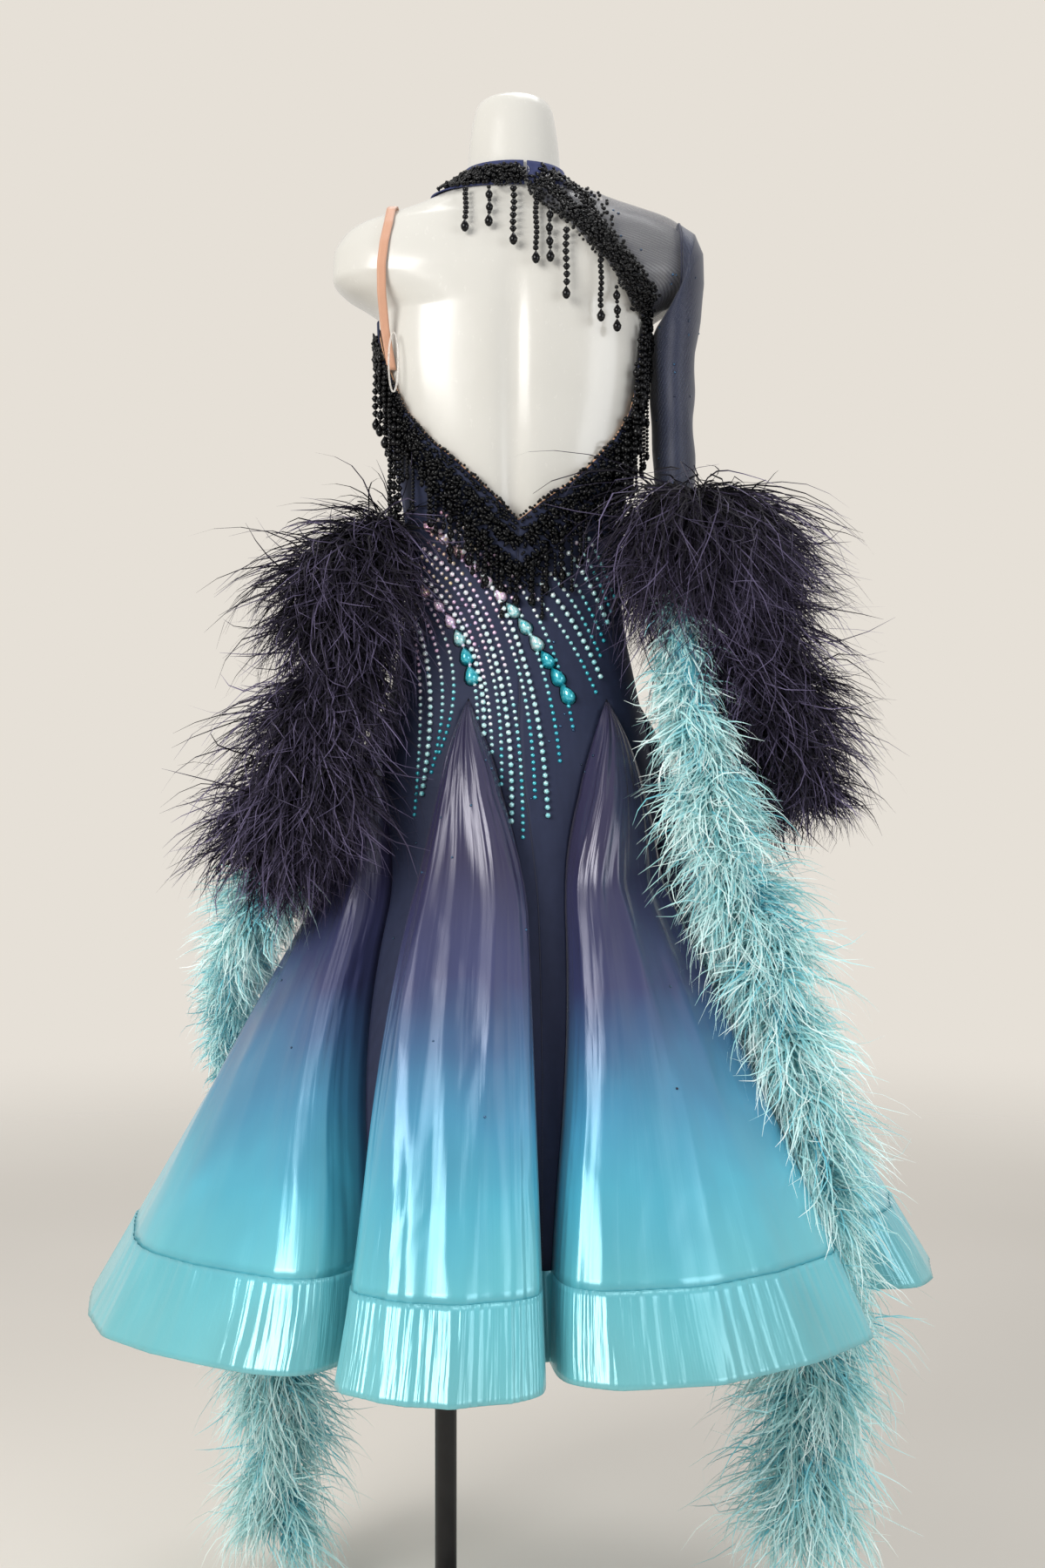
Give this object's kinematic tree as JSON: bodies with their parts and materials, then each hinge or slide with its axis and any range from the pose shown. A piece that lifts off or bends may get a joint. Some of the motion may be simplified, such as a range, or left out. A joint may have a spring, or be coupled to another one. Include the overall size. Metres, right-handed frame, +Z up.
{
  "type": "ballroom gown on a limbless dress form",
  "caption": "Open-backed ballroom gown with one sheer sleeve, beaded edges, feather boas and a flared godet skirt, on a stand-mounted dress form.",
  "frame": {"origin": "middle of the stand base's underside, on the floor below the form's axis", "axes": "+Z up; the gown's open back faces -Y and its front +Y; the sleeve is on the +X side"},
  "size_m": [0.9606, 0.9854, 1.816],
  "materials": {
    "form_gloss": "gloss white shell",
    "stand_black": "black powder coat",
    "navy_crepe": "matt stretch crepe",
    "navy_mesh": "sheer stretch mesh",
    "ombre_satin": "satin shaded from purple navy to turquoise",
    "turquoise_band": "satin over stiffened crinoline",
    "nude_strap": "satin elastic",
    "jet_beads": "faceted jet beads",
    "navy_feather": "ostrich feather",
    "turquoise_feather": "ostrich feather"
  },
  "bodies": {
    "root": {"boa_cuff_right": "navy_feather", "boa_navy_left": "navy_feather", "boa_navy_right": "navy_feather", "boa_turquoise_left": "turquoise_feather", "boa_turquoise_right": "turquoise_feather", "body_back_left": "navy_crepe", "body_back_right": "navy_crepe", "body_front": "navy_crepe", "collar": "navy_crepe", "form_torso": "form_gloss", "godet_a": "ombre_satin", "godet_b": "ombre_satin", "godet_c": "ombre_satin", "godet_d": "ombre_satin", "godet_e": "ombre_satin", "godet_f": "ombre_satin", "godet_g": "ombre_satin", "godet_h": "ombre_satin", "hem_band_a": "turquoise_band", "hem_band_b": "turquoise_band", "hem_band_c": "turquoise_band", "hem_band_d": "turquoise_band", "hem_band_e": "turquoise_band", "hem_band_f": "turquoise_band", "hem_band_g": "turquoise_band", "hem_band_h": "turquoise_band", "sleeve_right": "navy_mesh", "stand_base": "stand_black", "stand_pole": "stand_black", "strap_left": "nude_strap", "trim_back_left": "jet_beads", "trim_back_right": "jet_beads", "trim_collar_left": "jet_beads", "trim_diagonal": "jet_beads", "yoke_right": "navy_mesh"}
  },
  "joints": []
}
